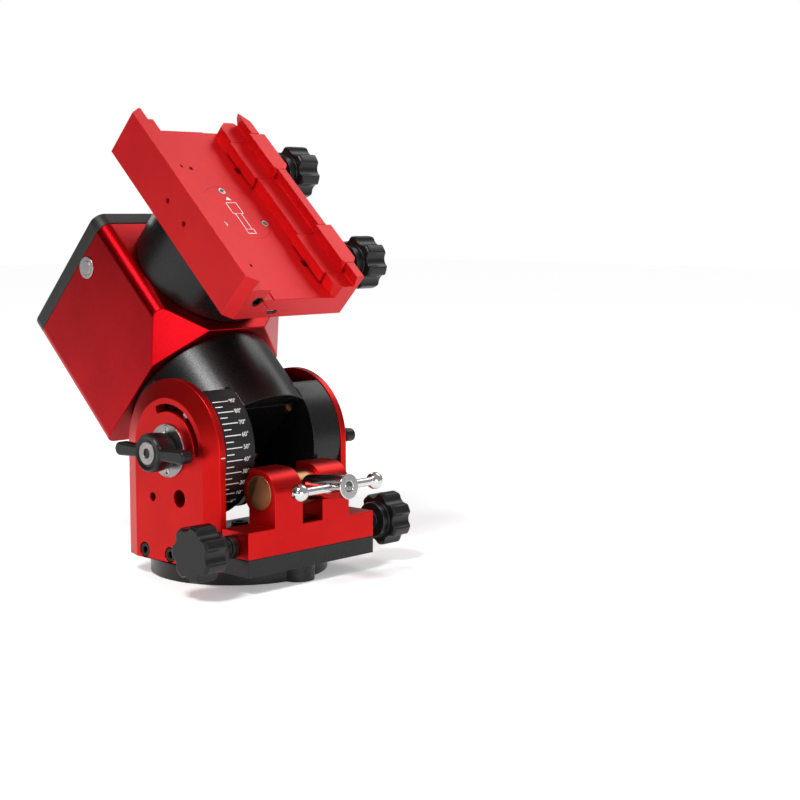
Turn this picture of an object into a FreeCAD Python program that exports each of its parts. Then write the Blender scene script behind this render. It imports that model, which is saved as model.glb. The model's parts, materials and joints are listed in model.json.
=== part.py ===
"""Equatorial star tracker mount: fixed base, azimuth cradle with two arms, tilting right ascension
housing, turning head block, declination drum and a dual dovetail saddle with two clamps.

Millimetres. The origin is the centre of the base's underside, +Z is up, the pole side is +Y and the
altitude axis runs along X. Pieces above the altitude axis are drawn in the head frame (x, u, v):
u runs along the right ascension axis, v along the declination axis, both from the altitude axis.
"""
import FreeCAD, Part
import math
import os

V = FreeCAD.Vector
X, Y, Z = V(1, 0, 0), V(0, 1, 0), V(0, 0, 1)

# ---- driving dimensions, millimetres and degrees ----
LATITUDE = 43.5            # tilt of the right ascension axis at rest
AXIS_H = 92.0              # altitude axis above the underside
SEAM = 0.4                 # gap where one turning shell meets the next
RUN = 0.05                 # radial clearance of a running fit
TOUCH = 0.3                # gap between faces that slide past each other

BASE_R = 64.0
BASE_LOBE_R = 12.0         # lobe of the base round the azimuth peg
BASE_T = 12.0
SPIGOT_R = 18.0
SPIGOT_T = 12.0
TRIPOD_TAP_R = 3.97        # 3/8-16 tapping size
TRIPOD_TAP_DEPTH = 13.0
BASE_TAP_R = 2.5           # M6 tapping size
BASE_TAP_PCD = 80.0
BASE_TAP_COUNT = 4
BASE_TAP_DEPTH = 9.0

PEG_Y = -61.5              # azimuth peg, altitude pivot and azimuth screws share this station
PEG_R = 7.0
PEG_TOP = 42.0
PUSH_Z = 32.0              # height of the azimuth screws
PUSH_R = 5.0
AZIMUTH_RANGE = 6.0

FLOOR_Z = BASE_T + TOUCH
FLOOR_T = 12.0
FLOOR_TOP = FLOOR_Z + FLOOR_T
ARM_IN = 55.0              # inner face of an arm, from the middle
ARM_RIM = 60.4             # where the wide bevel starts
ARM_OUT = 64.7             # flat outer face
ARM_R = 49.8
ARM_FLAT_R = 36.8
SLOT_R = 30.0              # arc slot of an arm
SLOT_W = 5.2
SLOT_FROM = -21.0          # slot ends, forward of the vertical
SLOT_TO = 88.0
PIN_AT = 32.0              # limit pin at rest, forward of the vertical

TRUNNION_R = 8.0
BUSH_R = 11.0
COVER_R = 18.7             # steel disc round the altitude axis
COVER_OUT = 66.2
COVER_SCREW_AT = 14.7

LEVER_IN = 73.3            # wings of a lock lever
LEVER_OUT = 82.8
LEVER_FRONT = 33.0
LEVER_BACK = 32.0
LEVER_HALF = 5.2

EAR_IN = 9.5               # ears that carry the altitude screw
EAR_OUT = 35.5
EAR_R = 16.0
EAR_Z = AXIS_H - 26.5
EAR_BACK = -50.6
BEAM_X = 60.0
BEAM_TOP = 43.0
BARREL_R = 12.0
SCREW_SLOPE = -6.8         # altitude screw, falling towards the back
SCREW_R = 5.0
SCREW_END = 112.0
JOURNAL_R = 6.0
HUB_R = 8.75
HUB_FROM = 13.0
HUB_TO = 52.0
TEE_AT = 41.0
TEE_HALF = 35.8
TEE_R = 3.0
TEE_BALL_R = 6.0
NUT_AT = 82.1              # nut from the ear pivot, along the screw
NUT_R = 8.0
NUT_HALF = 12.0
NUT_PIN_R = 4.0
NUT_WINDOW_R = 10.9

RA_R = 56.7                # right ascension housing
RA_FROM = -6.5
DRUM_R = 49.5              # altitude drums beside it
DRUM_IN = 28.3
DRUM_OUT = 54.6
DRUM_TO = 11.0
SCALE_T = 0.8
SCALE_FROM = -8.0          # latitude strip, degrees from the drum's front
SCALE_TO = 102.0

HEAD_HALF = 60.0           # head block
HEAD_U0 = 55.3
HEAD_U1 = 164.1
COVER_U = 174.8
HEAD_V0 = -56.1
HEAD_V1 = 60.0
HEAD_FILLET = 9.0
FACET_X = 34.3             # the two corner facets
FACET_U = 28.9
FACET_V = 35.0
WALL = 8.0

DEC_U = 112.1              # declination axis
DEC_R = 50.9
SADDLE_V = 102.8           # underside of the saddle
SADDLE_HALF_L = 86.0
SADDLE_LEFT = -56.1
SADDLE_RIGHT = 52.2
FLOOR_V = 120.2
RELIEF_V = 119.6
LEDGE_V = 130.2
LIP_V = 139.5
DISC_R = 27.0
DISC_SCREW_AT = 22.4

CLAMP_U = (60.0, 156.9)    # middle of each clamp block
CLAMP_L = 38.4
CLAMP_OUT = 56.9
CLAMP_TRAVEL = 5.0
CLAMP_V = 119.0            # clamp screw
CLAMP_SCREW_R = 3.0
KNOB_R = 19.5
KNOB_IN = 78.0
KNOB_OUT = 97.0
KNOB_LOBES = 7


# ---- helpers ----
def tube(radius, start, end, axis=Z, at=V(0, 0, 0), bore=0.0):
    """Cylinder from start to end along axis, through the point at, with an optional bore."""
    solid = Part.makeCylinder(radius, end - start, at + axis * start, axis)
    if bore:
        solid = solid.cut(Part.makeCylinder(bore, end - start, at + axis * start, axis))
    return solid


def block(x0, x1, y0, y1, z0, z1):
    return Part.makeBox(x1 - x0, y1 - y0, z1 - z0, V(x0, y0, z0))


def prism(points, direction):
    """Straight prism on a closed polygon."""
    wire = Part.makePolygon(list(points) + [points[0]])
    return Part.Face(wire).extrude(direction)


def one(shapes):
    """Join pieces that share faces into one solid."""
    joined = shapes[0].fuse(shapes[1:]) if len(shapes) > 1 else shapes[0]
    return joined.removeSplitter()


def group(shapes):
    return Part.makeCompound(shapes)


def mirrored(shape):
    """The same piece on the other side of the YZ plane."""
    return shape.mirror(V(0, 0, 0), X)


def both(shape):
    return group([shape, mirrored(shape)])


def raised(shape, height=AXIS_H):
    moved = shape.copy()
    moved.translate(V(0, 0, height))
    return moved


def in_head(shape):
    """From the head frame, with y as u and z as v, to the mount's own frame."""
    moved = shape.copy()
    moved.rotate(V(0, 0, 0), X, LATITUDE)
    return raised(moved)


def on_screw(shape):
    """From the altitude screw's frame, with y along the screw, to the mount's own frame."""
    moved = shape.copy()
    moved.rotate(V(0, 0, 0), X, SCREW_SLOPE)
    moved.translate(V(0, PEG_Y, EAR_Z))
    return moved


def save(name, shape):
    shape.exportStep("parts/%s.step" % name)


def lobed_knob(inner, outer):
    """Star knob on the X axis: a disc with scallops, leaving KNOB_LOBES lobes, and a tommy hole."""
    knob = tube(KNOB_R, inner, outer, X)
    knob = knob.makeChamfer(1.5, [e for e in knob.Edges if e.Curve.TypeId == "Part::GeomCircle"])
    pitch = 2 * math.pi / KNOB_LOBES
    scallops = []
    for lobe in range(KNOB_LOBES):
        angle = (lobe + 0.5) * pitch
        centre = V(0, math.cos(angle), math.sin(angle)) * (KNOB_R + 2.6)
        scallops.append(tube(6.2, inner - 1, outer + 1, X, centre))
    middle = (inner + outer) / 2
    scallops.append(tube(2.6, 9, KNOB_R + 1, Y, V(middle, 0, 0)))
    return knob.cut(scallops)


# ---- base ----
def base_plate():
    plate = one([tube(BASE_R, 0, BASE_T), tube(SPIGOT_R, BASE_T, BASE_T + SPIGOT_T),
                 tube(BASE_LOBE_R, 0, BASE_T, Z, V(0, PEG_Y, 0))])
    holes = [tube(TRIPOD_TAP_R, 0, TRIPOD_TAP_DEPTH), tube(4, 15, BASE_T + SPIGOT_T)]
    for step in range(BASE_TAP_COUNT):
        angle = math.radians(45 + 360 * step / BASE_TAP_COUNT)
        centre = V(math.cos(angle), math.sin(angle), 0) * (BASE_TAP_PCD / 2)
        holes.append(tube(BASE_TAP_R, 0, BASE_TAP_DEPTH, Z, centre))
    holes.append(tube(4, 4, BASE_T, Z, V(0, PEG_Y, 0)))
    return plate.cut(holes)


def azimuth_peg():
    at = V(0, PEG_Y, 0)
    return one([tube(PEG_R, BASE_T, PEG_TOP, Z, at), tube(4, 4, BASE_T, Z, at)])


# ---- cradle ----
ARM_BOLT_Y = (-28.0, 0.0, 28.0)
ARM_BOLT_Z = 18.3
PEG_ROOM = block(-15.5, 15.5, PEG_Y - 9, PEG_Y + 9, FLOOR_Z - 1, PEG_TOP + 2.5)


def cradle_floor():
    """Turning floor with a tongue at the front that carries the ears."""
    front = PEG_Y - EAR_R
    outline = [V(-ARM_IN, 46, 0), V(ARM_IN, 46, 0), V(ARM_IN, EAR_BACK, 0), V(BEAM_X, EAR_BACK, 0),
               V(BEAM_X, front, 0), V(-BEAM_X, front, 0), V(-BEAM_X, EAR_BACK, 0), V(-ARM_IN, EAR_BACK, 0)]
    floor = raised(prism(outline, Z * FLOOR_T), FLOOR_Z)
    screw_room = block(-8, 8, 31, 47, 19, FLOOR_TOP)
    cuts = [tube(SPIGOT_R + RUN, FLOOR_Z, FLOOR_TOP), PEG_ROOM, screw_room]
    for y in ARM_BOLT_Y:
        for side in (-1, 1):
            cuts.append(tube(3, 40, ARM_IN, X * side, V(0, y, ARM_BOLT_Z)))
    return floor.cut(cuts)


def pivot_bolt():
    """Bolt and washer that hold the cradle down on the base's spigot."""
    top = BASE_T + SPIGOT_T
    washer = tube(23, FLOOR_TOP + TOUCH, FLOOR_TOP + TOUCH + 2.5)
    neck = tube(12, top, FLOOR_TOP + TOUCH)
    head = tube(6.5, FLOOR_TOP + TOUCH + 2.5, FLOOR_TOP + 9)
    bolt = one([tube(4, 15, top), neck, washer, head])
    return bolt.cut(tube(3, FLOOR_TOP + 5, FLOOR_TOP + 9))


def arm_outline(half, x):
    """Round-topped outline of an arm in the plane at x."""
    foot = FLOOR_Z - AXIS_H
    arc = Part.Arc(V(x, -half, 0), V(x, 0, half), V(x, half, 0)).toShape()
    lines = [V(x, half, 0), V(x, half, foot), V(x, -half, foot), V(x, -half, 0)]
    edges = [arc] + [Part.makeLine(a, b) for a, b in zip(lines, lines[1:])]
    return Part.Wire(edges)


def arc_slot(radius, width, start, end, x0, x1):
    """Slot round the X axis; angles are forward of the vertical."""
    sweep = end - start
    ring = tube(radius + width / 2, x0, x1, X, bore=radius - width / 2)
    wedge = [V(x0, 0, 0)]
    steps = 8
    for step in range(steps + 1):
        angle = math.radians(start + sweep * step / steps)
        wedge.append(V(x0, -90 * math.sin(angle), 90 * math.cos(angle)))
    cut = [ring.common(prism(wedge, X * (x1 - x0)))]
    for angle in (math.radians(start), math.radians(end)):
        centre = V(0, -math.sin(angle), math.cos(angle)) * radius
        cut.append(tube(width / 2, x0, x1, X, centre))
    return one(cut)


def arm():
    """Right arm, wide bevel outside, bores for the bush, the limit slot and the bolts."""
    plate = Part.Face(arm_outline(ARM_R, ARM_IN)).extrude(X * (ARM_RIM - ARM_IN))
    bevel = Part.makeLoft([arm_outline(ARM_R, ARM_RIM), arm_outline(ARM_FLAT_R, ARM_OUT)], True, True)
    cuts = [tube(BUSH_R, ARM_IN, ARM_OUT, X),
            arc_slot(SLOT_R, SLOT_W, SLOT_FROM, SLOT_TO, ARM_IN - 1, ARM_OUT + 1),
            tube(6, ARM_IN - 1, ARM_OUT + 1, X, V(0, -11.3, -32.5)),
            tube(3, ARM_IN - 1, ARM_OUT + 1, X, V(0, 18.0, -34.5))]
    for z in (-COVER_SCREW_AT, COVER_SCREW_AT):
        cuts.append(tube(1.5, 57, ARM_OUT, X, V(0, 0, z)))
    for y in ARM_BOLT_Y:
        at = V(0, y, ARM_BOLT_Z - AXIS_H)
        cuts.append(tube(3, ARM_IN, ARM_OUT, X, at))
        cuts.append(tube(5.4, 59, ARM_OUT + 1, X, at))
    return raised(one([plate, bevel]).cut(cuts))


def arm_bolts():
    bolts = []
    for y in ARM_BOLT_Y:
        at = V(0, y, ARM_BOLT_Z)
        bolt = one([tube(3, 41, 59, X, at), tube(5, 59, 64.2, X, at)])
        bolt = bolt.cut(tube(2.3, 61.2, 64.2, X, at))
        bolts += [bolt, mirrored(bolt)]
    return group(bolts)


def trunnion_bushes():
    return both(raised(tube(BUSH_R, ARM_IN, 64.2, X, bore=TRUNNION_R + RUN)))


def trunnion_covers():
    disc = tube(COVER_R, ARM_OUT, COVER_OUT, X, bore=4.4)
    for z in (-COVER_SCREW_AT, COVER_SCREW_AT):
        disc = disc.cut(tube(3.2, ARM_OUT, COVER_OUT, X, V(0, 0, z)))
    return both(raised(disc))


def cover_screws():
    screws = []
    for z in (-COVER_SCREW_AT, COVER_SCREW_AT):
        at = V(0, 0, z)
        screw = one([tube(1.5, 57.5, ARM_OUT, X, at), tube(3.1, ARM_OUT, COVER_OUT, X, at)])
        screw = raised(screw.cut(tube(1.3, COVER_OUT - 0.9, COVER_OUT, X, at)))
        screws += [screw, mirrored(screw)]
    return group(screws)


def lock_lever():
    """Two-winged lever on the altitude axis."""
    hub = tube(14, COVER_OUT + TOUCH, 83.3, X)
    wings = block(LEVER_IN, LEVER_OUT, -LEVER_FRONT, LEVER_BACK, -LEVER_HALF, LEVER_HALF)
    ends = [tube(LEVER_HALF, LEVER_IN, LEVER_OUT, X, V(0, y, 0)) for y in (-LEVER_FRONT, LEVER_BACK)]
    lever = one([hub, wings] + ends)
    lever = lever.cut([tube(4, COVER_OUT, 84, X), tube(8.2, 78.6, 84, X)])
    return raised(lever)


def lever_screw():
    screw = one([tube(3.9, 52, 78.6, X), tube(8, 78.6, 83.9, X)])
    return raised(screw.cut(tube(3.4, 80.5, 83.9, X)))


def altitude_bracket():
    """Two ears for the altitude screw on a beam that guides the azimuth screws."""
    flat = EAR_Z + EAR_R
    pivot = V(0, PEG_Y, EAR_Z)
    front = PEG_Y - EAR_R
    ears = []
    for side in (-1, 1):
        x0 = min(EAR_IN * side, EAR_OUT * side)
        width = EAR_OUT - EAR_IN
        ears.append(tube(EAR_R, x0, x0 + width, X, pivot))
        ears.append(block(x0, x0 + width, front, EAR_BACK, FLOOR_TOP, EAR_Z))
        ears.append(block(x0, x0 + width, PEG_Y, EAR_BACK, EAR_Z, flat))
    beam = block(-BEAM_X, BEAM_X, front, EAR_BACK, FLOOR_TOP, BEAM_TOP)
    bracket = one(ears + [beam])
    push = V(0, PEG_Y, PUSH_Z)
    cuts = [PEG_ROOM, tube(BARREL_R + RUN, -EAR_OUT, EAR_OUT, X, pivot),
            tube(PUSH_R + RUN, -BEAM_X, BEAM_X, X, push)]
    return bracket.cut(cuts)


# ---- azimuth screws ----
def azimuth_pusher():
    rod = tube(PUSH_R, PEG_R + 0.1, 40, X)
    rod = rod.cut(tube(3 + RUN, 16, 40, X))
    rod.translate(V(0, PEG_Y, PUSH_Z))
    return rod


def azimuth_knob():
    thread = tube(3, 24, 50, X)
    journal = tube(PUSH_R, 50, BEAM_X + TOUCH, X)
    collar = tube(8, BEAM_X + TOUCH, 66, X)
    neck = one([tube(6, 66, 74, X), tube(13, 74, 80, X)])
    knob = one([thread, journal, collar, neck, lobed_knob(80, 98)])
    knob.translate(V(0, PEG_Y, PUSH_Z))
    return knob


# ---- altitude screw ----
def front_barrel():
    barrel = tube(BARREL_R, -EAR_OUT - 0.4, EAR_OUT + 0.4, X)
    return on_screw(barrel.cut(tube(JOURNAL_R + RUN, -20, 20, Y)))


def lead_screw():
    """Hub, journal, thrust collar and threaded length."""
    core = one([tube(HUB_R, -HUB_TO, -HUB_FROM, Y), tube(JOURNAL_R, -HUB_FROM, 12.6, Y),
                tube(8, 12.6, 16, Y), tube(SCREW_R, 16, SCREW_END, Y)])
    cross_hole = tube(TEE_R + RUN, -HUB_R, HUB_R, X, V(0, -TEE_AT, 0))
    core = core.cut([tube(3.6, -HUB_TO, -HUB_TO + 7, Y), cross_hole])
    return on_screw(core)


def tee_bar():
    """Cross bar with a ball on each end, turned in one piece."""
    reach = TEE_HALF + TEE_BALL_R
    neck = TEE_HALF - math.sqrt(TEE_BALL_R ** 2 - TEE_R ** 2)
    left = Part.Arc(V(-reach, 0, 0), V(-TEE_HALF, TEE_BALL_R, 0), V(-neck, TEE_R, 0)).toShape()
    right = Part.Arc(V(neck, TEE_R, 0), V(TEE_HALF, TEE_BALL_R, 0), V(reach, 0, 0)).toShape()
    edges = [left, Part.makeLine(V(-neck, TEE_R, 0), V(neck, TEE_R, 0)), right,
             Part.makeLine(V(reach, 0, 0), V(-reach, 0, 0))]
    bar = Part.Face(Part.Wire(edges)).revolve(V(0, 0, 0), X, 360)
    bar.translate(V(0, -TEE_AT, 0))
    return on_screw(bar)


def altitude_nut():
    at = V(0, NUT_AT, 0)
    nut = one([tube(NUT_R, -NUT_HALF, NUT_HALF, X, at), tube(NUT_PIN_R, -19, 19, X, at)])
    return on_screw(nut.cut(tube(SCREW_R + RUN, NUT_AT - 9, NUT_AT + 9, Y)))


def nut_in_head():
    """Where the nut stands in the head frame, as (u, v)."""
    slope, tilt = math.radians(SCREW_SLOPE), math.radians(LATITUDE)
    y = PEG_Y + NUT_AT * math.cos(slope)
    z = EAR_Z - AXIS_H + NUT_AT * math.sin(slope)
    return y * math.cos(tilt) + z * math.sin(tilt), z * math.cos(tilt) - y * math.sin(tilt)


# ---- right ascension housing, head frame ----
BAY = block(-19, 19, -2.5, 24, -17, 41)
MOTOR_AT = 26.0            # motor shaft from the drive's axis
PLATE_SCREWS = [(-21.5, 38.5), (21.5, 38.5), (-21.5, -14.0), (21.5, -14.0)]


def ra_housing():
    body = tube(RA_R, RA_FROM, HEAD_U0 - SEAM, Y)
    slab = block(DRUM_OUT, 70, RA_FROM - 1, 51, -70, 70)
    body = body.cut([slab, mirrored(slab)])
    drum = tube(DRUM_R, DRUM_IN, DRUM_OUT, X).common(block(0, 70, -70, DRUM_TO, -70, 70))
    shell = one([body, drum, mirrored(drum)])
    u, v = nut_in_head()
    lug = one([tube(NUT_WINDOW_R + 4.5, 13.5, 18.5, X, V(0, u, v)),
               block(13.5, 18.5, u, 4, v - NUT_WINDOW_R - 4.5, v + NUT_WINDOW_R + 4.5).common(body)])
    shell = one([shell, lug, mirrored(lug)])
    recess = tube(52.5, RA_FROM, -2.5, Y).common(block(-DRUM_IN, DRUM_IN, -9, 0, -22, 60))
    tunnel = prism([V(-6.6, -30, -30), V(-6.6, -9, -30.5), V(-6.6, 46, -49), V(-6.6, 46, -62),
                    V(-6.6, -30, -62)], X * 13.2)
    cuts = [recess, tunnel, BAY,
            block(-12.8, 12.8, -26, 9, -62, -23),
            tube(42, 24, 39, Y), tube(47, 39, HEAD_U0, Y),
            tube(NUT_WINDOW_R, -20, 20, X, V(0, u, v)),
            scale_band(SCALE_FROM, SCALE_TO + 3)]
    for side in (-1, 1):
        cuts.append(tube(TRUNNION_R, 30, DRUM_OUT, X * side))
        cuts.append(tube(2.2, 45, DRUM_OUT, X * side, pin_place()))
    for x, v in PLATE_SCREWS:
        cuts.append(tube(1.5, -2.5, 8, Y, V(x, 0, v)))
    return in_head(shell.cut(cuts))


def pin_place():
    """Limit pin in the head frame, on the slot's radius."""
    angle = math.radians(PIN_AT)
    tilt = math.radians(LATITUDE)
    y, z = -math.sin(angle) * SLOT_R, math.cos(angle) * SLOT_R
    return V(0, y * math.cos(tilt) + z * math.sin(tilt), z * math.cos(tilt) - y * math.sin(tilt))


def scale_band(start, end):
    """Strip round the left drum, degrees from its front towards its top."""
    ring = tube(DRUM_R + 0.01, -DRUM_OUT, -DRUM_IN, X, bore=DRUM_R - SCALE_T)
    wedge = [V(-DRUM_OUT, 0, 0)]
    steps = 8
    for step in range(steps + 1):
        angle = math.radians(start + (end - start) * step / steps)
        wedge.append(V(-DRUM_OUT, -90 * math.cos(angle), 90 * math.sin(angle)))
    return ring.common(prism(wedge, X * (DRUM_OUT - DRUM_IN)))


def latitude_scale():
    strip = scale_band(SCALE_FROM, SCALE_TO + 3).common(block(-60, 0, -60, DRUM_TO - 0.2, -60, 60))
    return in_head(strip.common(tube(DRUM_R, -DRUM_OUT, -DRUM_IN, X)))


def trunnion_pins():
    pin = tube(TRUNNION_R, 30, 64, X)
    return both(raised(pin.cut(tube(3.95, 50, 64, X))))


def limit_pins():
    pins = [tube(2.2, 45, 62, X * side, pin_place()) for side in (-1, 1)]
    return in_head(group(pins))


def ra_end_plate():
    plate = block(-25, 25, -5, -2.5, -20, 43.5)
    for x, v in PLATE_SCREWS:
        plate = plate.cut(tube(1.6, -5, -2.5, Y, V(x, 0, v)))
    return in_head(plate)


def end_plate_screws():
    screws = []
    for x, v in PLATE_SCREWS:
        at = V(x, 0, v)
        screw = one([tube(1.5, -5, 7, Y, at), tube(2.8, -6.4, -5, Y, at)])
        screws.append(screw.cut(tube(1.1, -6.4, -5.6, Y, at)))
    return in_head(group(screws))


# ---- strain wave drive, drawn along +Z and used for both axes ----
def drive_pieces():
    """Solids of one drive, bottom at the motor side and the output flange at the top."""
    shaft = V(0, MOTOR_AT, 0)
    motor = one([block(-14, 14, MOTOR_AT - 16, MOTOR_AT + 12, -26.5, -11), tube(11, -11, -9.5, Z, shaft)])
    motor = motor.cut(tube(2.6, -20, -9, Z, shaft))
    small = one([tube(2.5, -19, -3, Z, shaft), tube(6, -9, -3, Z, shaft)])
    wave = one([tube(15, -9, -3), tube(6, -3, 3), tube(28, 3, 11)])
    outer = belt_outline(17.0, 8.0)
    inner = belt_outline(15.4, 6.4)
    belt = raised(outer.extrude(Z * 5).cut(inner.extrude(Z * 5)), -8.5)
    circular = tube(42, 1, 12, bore=33)
    bearing = tube(47, 16, 28, bore=41)
    flex = one([tube(32.5, 2, 16, bore=30.5), tube(41 - RUN, 16, 31.3, bore=12)])
    return dict(motor=motor, motor_pulley=small, wave_generator=wave, belt=belt,
                circular_spline=circular, bearing=bearing, flexspline=flex)


def belt_outline(big, small):
    """Belt loop round the large wheel and the motor's wheel."""
    lean = math.asin((big - small) / MOTOR_AT)
    side = V(math.cos(lean), math.sin(lean), 0)
    other = V(-side.x, side.y, 0)
    far = V(0, MOTOR_AT, 0)
    edges = [Part.Arc(side * big, V(0, -big, 0), other * big).toShape(),
             Part.makeLine(other * big, far + other * small),
             Part.Arc(far + other * small, V(0, MOTOR_AT + small, 0), far + side * small).toShape(),
             Part.makeLine(far + side * small, side * big)]
    return Part.Face(Part.Wire(edges))


def ra_drive(shape):
    """Drive axis on u, its base at u = 24, the motor towards +v."""
    moved = shape.copy()
    moved.rotate(V(0, 0, 0), X, -90)
    moved.rotate(V(0, 0, 0), Y, 180)
    moved.translate(V(0, 24, 0))
    return in_head(moved)


DEC_BASE = HEAD_V1 + SEAM - 31.3


def dec_drive(shape):
    """Drive axis on v through the declination axis, the motor towards the back cover."""
    moved = shape.copy()
    moved.translate(V(0, DEC_U, DEC_BASE))
    return in_head(moved)


# ---- head block, head frame ----
HEAD_SCREWS = [(-54.5, 52.0), (54.5, 52.0), (-54.5, -49.5), (54.5, -49.5)]
BUTTON = V(0, 155.0, 24.5)


def long_box(half, u0, u1, v0, v1, radius):
    """Box along u with its four long edges rounded."""
    box = block(-half, half, u0, u1, v0, v1)
    edges = [e for e in box.Edges if abs(e.tangentAt(e.FirstParameter).y) > 0.9]
    return box.makeFillet(radius, edges)


def head_block():
    shell = long_box(HEAD_HALF, HEAD_U0, HEAD_U1, HEAD_V0, HEAD_V1, HEAD_FILLET)
    corner = V(-HEAD_HALF, HEAD_U0, HEAD_V1)
    a, b, c = corner + X * FACET_X, corner + Y * FACET_U, corner - Z * FACET_V
    normal = (b - a).cross(c - a)
    normal.normalize()
    if normal.dot(corner - a) < 0:
        normal = -normal
    middle = (a + b + c) * (1 / 3)
    facet = Part.makeCylinder(90, 60, middle, normal)
    shell = shell.cut([facet, mirrored(facet)])
    room = long_box(HEAD_HALF - WALL, HEAD_U0 + WALL, HEAD_U1 + 1, HEAD_V0 + WALL, HEAD_V1 - WALL, 4)
    for side in (facet, mirrored(facet)):
        inner = side.copy()
        shift = normal if side is facet else V(-normal.x, normal.y, normal.z)
        inner.translate(shift * -WALL)
        room = room.cut(inner)
    boss = tube(52, DEC_BASE - 1, HEAD_V1 - WALL, Z, V(0, DEC_U, 0))
    boss = boss.common(block(-HEAD_HALF + 2, HEAD_HALF - 2, HEAD_U0 + 2, HEAD_U1, HEAD_V0, HEAD_V1))
    weight_boss = tube(15, HEAD_V0 + 2, -30, Z, V(0, DEC_U, 0))
    pedestal = block(-16, 16, DEC_U + MOTOR_AT - 17, DEC_U + MOTOR_AT + 13, HEAD_V0 + 2, DEC_BASE - 26.5)
    shell = one([shell.cut(room), boss, weight_boss, pedestal])
    dec = V(0, DEC_U, 0)
    cuts = [tube(42, DEC_BASE, DEC_BASE + 15, Z, dec), tube(47, DEC_BASE + 15, HEAD_V1 + 1, Z, dec),
            tube(34, DEC_BASE - 2, DEC_BASE, Z, dec),
            tube(5.1, HEAD_V0, -34, Z, dec), tube(12, HEAD_U0, HEAD_U0 + WALL, Y),
            tube(7, -HEAD_HALF, -HEAD_HALF + WALL + 3, X, BUTTON)]
    for x, v in HEAD_SCREWS:
        cuts.append(tube(1.6, 148, HEAD_U1, Y, V(x, 0, v)))
    return in_head(shell.cut(cuts))


def back_cover():
    pan = long_box(HEAD_HALF, HEAD_U1, COVER_U, HEAD_V0, HEAD_V1, HEAD_FILLET)
    room = long_box(HEAD_HALF - 9, HEAD_U1 - 1, COVER_U - 3, HEAD_V0 + 9, HEAD_V1 - 9, 4)
    posts = [tube(3, 157.6, COVER_U - 2, Y, V(x, 0, v)) for x in (-38, 38) for v in (-36, 22)]
    pan = one([pan.cut(room)] + posts)
    cuts = []
    for x, v in HEAD_SCREWS:
        cuts += [tube(1.6, HEAD_U1, COVER_U, Y, V(x, 0, v)), tube(3.2, COVER_U - 3, COVER_U, Y, V(x, 0, v))]
    return in_head(pan.cut(cuts))


def back_cover_screws():
    screws = []
    for x, v in HEAD_SCREWS:
        at = V(x, 0, v)
        screw = one([tube(1.6, 149, COVER_U - 3, Y, at), tube(3, COVER_U - 3, COVER_U - 0.2, Y, at)])
        screws.append(screw.cut(tube(1.3, COVER_U - 1.8, COVER_U, Y, at)))
    return in_head(group(screws))


def control_board():
    board = block(-46, 46, 156, 157.6, -42, 28)
    chips = [block(-20, -4, 154, 156, -20, -4), block(10, 26, 153.4, 156, -30, -18),
             block(-36, -28, 151, 156, 4, 14)]
    return in_head(one([board] + chips))


def button_bezel():
    barrel = tube(7, -HEAD_HALF, -48, X, BUTTON)
    flange = tube(8, -HEAD_HALF - 1, -HEAD_HALF, X, BUTTON)
    return in_head(one([barrel, flange]).cut(tube(5.2, -HEAD_HALF - 1, -48, X, BUTTON)))


def button_cap():
    return in_head(tube(5.1, -HEAD_HALF - 1.2, -51, X, BUTTON))


# ---- declination drum and saddle, head frame ----
def dec_drum():
    dec = V(0, DEC_U, 0)
    foot = HEAD_V1 + SEAM
    drum = tube(DEC_R, foot, SADDLE_V, Z, dec)
    return in_head(drum.cut([tube(44, foot + 6, SADDLE_V - 6, Z, dec), tube(12, foot, foot + 6, Z, dec),
                             tube(20, SADDLE_V - 6, SADDLE_V, Z, dec)]))


def across(points, u0, u1):
    """Prism along u on a profile given as (x, v) pairs."""
    return prism([V(x, u0, v) for x, v in points], Y * (u1 - u0))


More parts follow.
